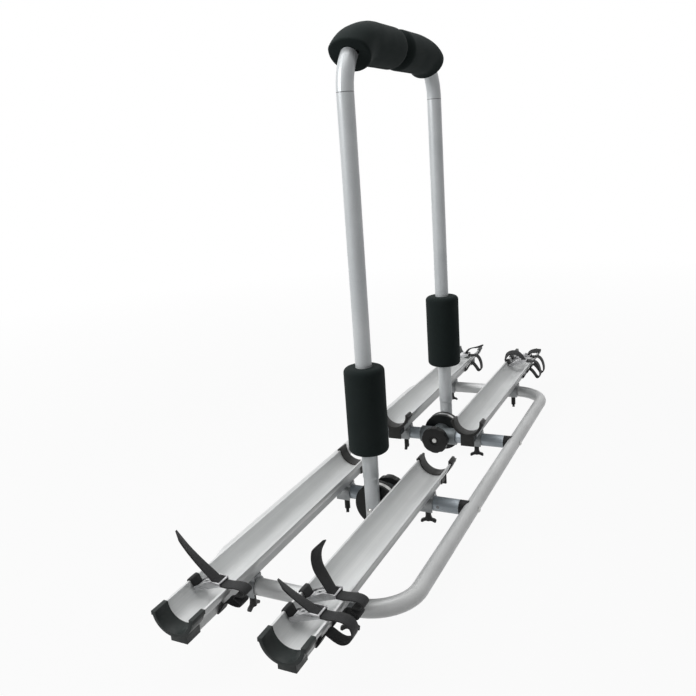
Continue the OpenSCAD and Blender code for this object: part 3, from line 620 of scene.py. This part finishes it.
def top_sleeve(name, side):
    """A foam tube over one corner of the arch, from the middle of the top round into the bend."""
    top = PLANE + ARCH_H
    first = side * TOP_FOAM_GAP / 2
    bend_y = side * (LEG_Y - ARCH_BEND)
    turn = TOP_FOAM_TURN[name]
    ring = {"vertices": AROUND, "location": (0, first, top), "rotation": (math.pi / 2, 0, 0)}
    bpy.ops.object.select_all(action="DESELECT")
    bpy.ops.mesh.primitive_circle_add(radius=FOAM_R, **ring)
    sleeve = bpy.context.active_object
    sleeve.name = "foam_sleeve_top_" + name
    keep_place(sleeve)
    start_edit(sleeve)
    bpy.ops.mesh.primitive_circle_add(radius=FOAM_BORE_R, **ring)
    bpy.ops.mesh.select_all(action="SELECT")
    steps = 8
    for _ in range(steps):
        bpy.ops.mesh.extrude_region_move(
            TRANSFORM_OT_translate={"value": (0, (bend_y - first) / steps, 0)})
    bpy.ops.mesh.spin(
        steps=10, angle=turn, center=(0, bend_y, top - ARCH_BEND), axis=(side, 0, 0))
    pick(sleeve, "EDGE", lambda edge: edge.is_boundary and abs(edge.verts[0].co.y - first) > 1 * MM)
    bpy.ops.mesh.bridge_edge_loops()
    pick(sleeve, "EDGE", lambda edge: edge.is_boundary)
    bpy.ops.mesh.bridge_edge_loops()
    bpy.ops.mesh.select_all(action="SELECT")
    bpy.ops.mesh.normals_make_consistent(inside=False)
    pick(sleeve, "EDGE", lambda edge: is_outer_rim(edge, 1, (first,), Vector((0, first, top))))
    bpy.ops.mesh.bevel(offset=GAP_ROUND, segments=8, affect="EDGES")
    end_y = bend_y + side * ARCH_BEND * math.sin(turn)
    end_centre = Vector((0, end_y, top - ARCH_BEND * (1 - math.cos(turn))))
    along = Vector((0, side * math.cos(turn), -math.sin(turn)))

    def on_last_rim(edge):
        middle = (edge.verts[0].co + edge.verts[1].co) / 2
        spoke = middle - end_centre
        return abs(spoke.dot(along)) < 0.05 * MM and spoke.length > 0.9 * FOAM_R

    pick(sleeve, "EDGE", on_last_rim)
    bpy.ops.mesh.bevel(offset=FOAM_ROUND / 2, segments=5, affect="EDGES")
    end_edit()
    stretch_over_bend(sleeve, side)
    return sleeve


def make_foam():
    for name, side in SIDES:
        for sleeve, node in ((leg_sleeve(name, side), "foam_leg_"), (top_sleeve(name, side), "foam_top_")):
            uneven(sleeve, FOAM_UNEVEN)
            smooth(sleeve, 40)
            fit_in(sleeve, "arch", "foam", node + name)


make_foam()

# Webbing straps

FIXED_BAR = (-0.62 * TRAY_W / 2, 0.65 * TRAY_DEPTH)
BAND_REST = TRAY_DEPTH + STRAP_T / 2 + SEAT_GAP
TAIL_START = (0.6 * TRAY_W / 2 - TAIL_BACK, BAND_REST)

# Tails and loops as shares of the tray's width, close to those of the solids
TAILS = {
    "single": ((-0.24, 0.22), (-0.48, 0.44), (-0.74, 0.74), (-0.95, 1.09)),
    "outer": ((-0.22, 0.14), (-0.38, 0.23), (-0.62, 0.39), (-0.85, 0.6)),
    "inner": ((-0.1, 0.16), (-0.22, 0.36), (-0.35, 0.56), (-0.37, 0.86), (-0.24, 1.13)),
    "bent": ((0, 0.14), (0.16, 0.3), (0.46, 0.34), (0.75, 0.43)),
    "spike": ((-0.02, 0.12), (0.12, 0.22), (0.34, 0.24), (0.49, 0.36)),
    "droop": ((-0.1, 0.18), (-0.24, 0.32), (-0.5, 0.36), (-0.7, 0.24), (-0.8, 0.04)),
}
LOOPS = {
    "fold": ((0.18, 0.03), (0.35, 0.02), (0.45, -0.07), (0.37, -0.155), (0.2, -0.14), (0.125, -0.2),
             (0.22, -0.27), (0.33, -0.31), (0.28, -0.4), (0.1, -0.4), (-0.09, -0.33)),
    "open": ((0.18, 0.03), (0.36, 0.01), (0.48, -0.09), (0.51, -0.24), (0.43, -0.41), (0.27, -0.5),
             (0.12, -0.46), (-0.02, -0.37), (-0.1, -0.33)),
    "hang": ((0.13, 0.03), (0.27, -0.08), (0.36, -0.34), (0.36, -0.6), (0.24, -0.66), (0.14, -0.5),
             (0.02, -0.35), (-0.09, -0.3)),
}


def arc(centre, radius, first, last, steps):
    angles = [math.radians(first + (last - first) * i / steps) for i in range(steps + 1)]
    return [Vector((centre[0] + radius * math.cos(a), centre[1] + radius * math.sin(a))) for a in angles]


def eased(points, steps=8):
    """A line with each inner point rounded off between the middles beside it."""
    line = [points[0]]
    for before, here, after in zip(points, points[1:], points[2:]):
        first, last = (before + here) / 2, (here + after) / 2
        for k in range(steps):
            t = k / steps
            line.append((1 - t) ** 2 * first + 2 * t * (1 - t) * here + t * t * last)
    return line + [(points[-2] + points[-1]) / 2, points[-1]]


def touch_angle(first, first_r, last, last_r):
    """The angle at which the line that wraps two circles touches them."""
    way = Vector(last) - Vector(first)
    return math.degrees(math.atan2(way.y, way.x) + math.acos((first_r - last_r) / way.length))


def strap_line(tail, loop):
    """The webbing's line round a tray, seen along it, and the number of points in its free tail."""
    off = STRAP_T / 2 + SEAT_GAP
    half = TRAY_W / 2
    start, rim = Vector(TAIL_START), Vector((half, BAND_REST))
    channel, rail_left, lip_low = (0, CHANNEL_R), (-RAIL_HALF, RAIL_LOW), (-half, TRAY_DEPTH - LIP_T)
    leave = touch_angle(rail_left, off, channel, OUT_R + off) - 360
    arrive = touch_angle(channel, OUT_R + off, lip_low, off)
    free = [start + TRAY_W * Vector(share) for share in reversed(tail)]
    line = eased(free + [start, rim] + [rim + TRAY_W * Vector(share) for share in loop]
                 + [arc((RAIL_HALF, RAIL_LOW), off, -30, -90, 1)[0]])
    line += arc((RAIL_HALF, RAIL_LOW), off, -45, -90, 3)
    line += arc(rail_left, off, -90, leave, 6)
    line += arc(channel, OUT_R + off, (leave + arrive) / 2, leave, 1)[:1]
    line += arc(lip_low, off, arrive, -180, 3)
    line += arc((-half + SEAT_GAP, TRAY_DEPTH - SEAT_GAP), off + SEAT_GAP, -180, -270, 6)
    line += arc((-CHANNEL_R - SEAT_GAP, TRAY_DEPTH - SEAT_GAP), off + SEAT_GAP, 90, 16, 6)
    line += arc(FIXED_BAR, BAR_R + STRAP_T / 2 + SLIP_GAP, 196, 320, 12)
    return line, 8 * len(tail)


def webbing_strap(name, sx, side, inset, tail, loop, twist, drift):
    """A strap laid along its line, its free tail twisted, drifting sideways and cut to a slant."""
    line, free = strap_line(TAILS[tail], LOOPS[loop])
    rows, columns = len(line) - 1, 4
    bpy.ops.object.select_all(action="DESELECT")
    bpy.ops.mesh.primitive_grid_add(x_subdivisions=rows, y_subdivisions=columns, size=1, calc_uvs=True)
    strap = bpy.context.active_object
    strap.name = name + "_webbing"
    run = [0.0]
    for first, last in zip(line, line[1:]):
        run.append(run[-1] + (last - first).length)
    tail_run = run[free]
    middle_y = side * (LINE_END - inset)
    for vertex in strap.data.vertices:
        i = round((vertex.co.x + 0.5) * rows)
        share = vertex.co.y
        tangent = (line[min(i + 1, rows)] - line[max(i - 1, 0)]).normalized()
        outward = Vector((-tangent.y, 0, tangent.x))
        loose = max(0.0, 1 - run[i] / tail_run)
        turn = math.radians(twist) * loose
        cross = Vector((0, math.cos(turn), 0)) + math.sin(turn) * outward
        tip = min(1.0, run[i] / (0.7 * STRAP_W))
        width = STRAP_W * (0.25 + 0.75 * tip)
        shift = 0.5 * (STRAP_W - width)
        bow = 0.25 * MM * (1 - (2 * share) ** 2)
        place = Vector((sx * TRAY_X + TRAY_SHIFT + line[i].x, middle_y, FLOOR_Z + line[i].y))
        vertex.co = (place + cross * (share * width - side * shift) + outward * bow
                     + Vector((0, drift * loose * loose, 0)))
    for face_corner in strap.data.uv_layers[0].data:
        along, across = face_corner.uv
        face_corner.uv = (across * STRAP_W, run[min(rows, round(along * rows))])
    work(strap, "SOLIDIFY", thickness=STRAP_T, offset=0.0)
    work(strap, "BEVEL", width=STRAP_BEVEL, segments=2, limit_method="ANGLE", angle_limit=math.radians(60))
    smooth(strap, 50)
    fit_in(strap, "rack", "webbing", name)


# For each strap: its side and end, its place, its tail and loop, and the tail's twist and drift
STRAPS = (
    ("strap_near_left", -1, -1, SINGLE_IN, "single", "fold", -34, -6 * MM),
    ("strap_near_right_outer", 1, -1, OUTER_IN, "outer", "open", -30, -4 * MM),
    ("strap_near_right_inner", 1, -1, INNER_IN, "inner", "fold", 25, 3 * MM),
    ("strap_far_left", -1, 1, SINGLE_IN, "bent", "hang", 30, 5 * MM),
    ("strap_far_right_outer", 1, 1, OUTER_IN, "spike", "hang", -30, 5 * MM),
    ("strap_far_right_inner", 1, 1, INNER_IN, "droop", "hang", 30, -5 * MM),
)
for strap in STRAPS:
    webbing_strap(*strap)

# Moulded and plated pieces


def make_rounded_pieces():
    """Trays, caps, clips, knobs and buckles get the small radii that real ones have."""
    for end, _ in SIDES:
        for hand in ("left", "right"):
            tag = end + "_" + hand
            rounded_copy("tray_" + tag, "rack", "tray_aluminium", 0.35 * MM)
            rounded_copy("end_cap_" + tag, "rack", "cap_plastic", 0.9 * MM, 3)
            rounded_copy("inner_clip_" + tag, "rack", "clip_plastic", 0.6 * MM, 3)
            for row in ("outer", "inner"):
                knob = "wing_knob_" + end + "_" + row + "_" + hand
                rounded_copy(knob, knob, "knob_plastic", 0.9 * MM, 3)
        rounded_copy("hand_knob_" + end, "hand_knob_" + end, "knob_plastic", 1.3 * MM, 3)
        rounded_copy("hinge_hub_" + end, "rack", "hub_casting", 0.8 * MM)
    for strap in STRAPS:
        lever = strap[0].replace("strap", "cam_lever")
        rounded_copy(lever, lever, "lever_steel", 0.4 * MM)
    rounded_copy("buckle_frames", "rack", "buckle_steel", 0.3 * MM)
    rounded_copy("tray_cradles", "rack", "cradle_aluminium", 0.8 * MM)
    rounded_copy("tube_saddles", "rack", "plug_plastic", 0.5 * MM)
    rounded_copy("saddle_washers", "rack", "zinc_steel", 0.3 * MM)


make_rounded_pieces()

# Stage and light


def sight_rays(tree):
    """One for the rays that show the surround: those of the camera, of mirror images and through glass."""
    path = put(tree, "LightPath")
    seen = math_node(tree, "ADD", path.outputs["Is Camera Ray"], path.outputs["Is Glossy Ray"])
    return math_node(tree, "ADD", seen, path.outputs["Is Transmission Ray"], True)


def make_floor():
    """A pale floor that keeps a soft shadow, and turns white away from the rack."""
    bpy.ops.object.select_all(action="DESELECT")
    bpy.ops.mesh.primitive_plane_add(size=60, location=(0, 0, -0.0005))
    floor = bpy.context.active_object
    floor.name = "floor"
    paper = bpy.data.materials.new("floor_paper")
    paper.use_nodes = True
    tree = paper.node_tree
    shader = tree.nodes["Principled BSDF"]
    shader.inputs["Base Color"].default_value = (0.4, 0.4, 0.4, 1)
    shader.inputs["Roughness"].default_value = 0.9
    shader.inputs["Specular IOR Level"].default_value = 0.1
    bright = put(tree, "Emission", in_Color=(1, 1, 1, 1), in_Strength=1.0)
    off = put(tree, "VectorMath", operation="LENGTH", in_0=put(tree, "TexCoord").outputs["Object"])
    far = spread(tree, off.outputs["Value"], 0.9, 3.0, 0.94, 1.0)
    mix = put(tree, "MixShader", in_0=math_node(tree, "MULTIPLY", sight_rays(tree), far),
              in_1=shader.outputs[0], in_2=bright.outputs[0])
    tree.links.new(mix.outputs[0], tree.nodes["Material Output"].inputs["Surface"])
    floor.data.materials.append(paper)


def make_surround():
    """A surround that looks white and lights only a little."""
    world = bpy.data.worlds.new("surround")
    bpy.context.scene.world = world
    world.use_nodes = True
    tree = world.node_tree
    tree.nodes.clear()
    out = put(tree, "OutputWorld")
    white = put(tree, "Background", in_Color=(1, 1, 1, 1), in_Strength=1.0)
    lit = put(tree, "Background", in_Color=(1, 1, 1, 1), in_Strength=0.14)
    mix = put(tree, "MixShader", in_0=sight_rays(tree), in_1=lit.outputs[0], in_2=white.outputs[0])
    tree.links.new(mix.outputs[0], out.inputs["Surface"])


def add_softbox(name, place, target, size, watts):
    data = bpy.data.lights.new(name, "AREA")
    data.shape = "RECTANGLE"
    data.size, data.size_y = size
    data.energy = watts
    lamp = bpy.data.objects.new(name, data)
    lamp.location = place
    lamp.rotation_euler = (Vector(target) - Vector(place)).to_track_quat("-Z", "Y").to_euler()
    bpy.context.scene.collection.objects.link(lamp)


make_floor()
make_surround()
add_softbox("top_softbox", (-0.5, 0.0, 2.8), (0, 0, 0.2), (2.8, 2.8), 40)
add_softbox("left_softbox", (-2.0, -1.9, 1.9), (0, 0, 0.3), (2.1, 2.1), 64)
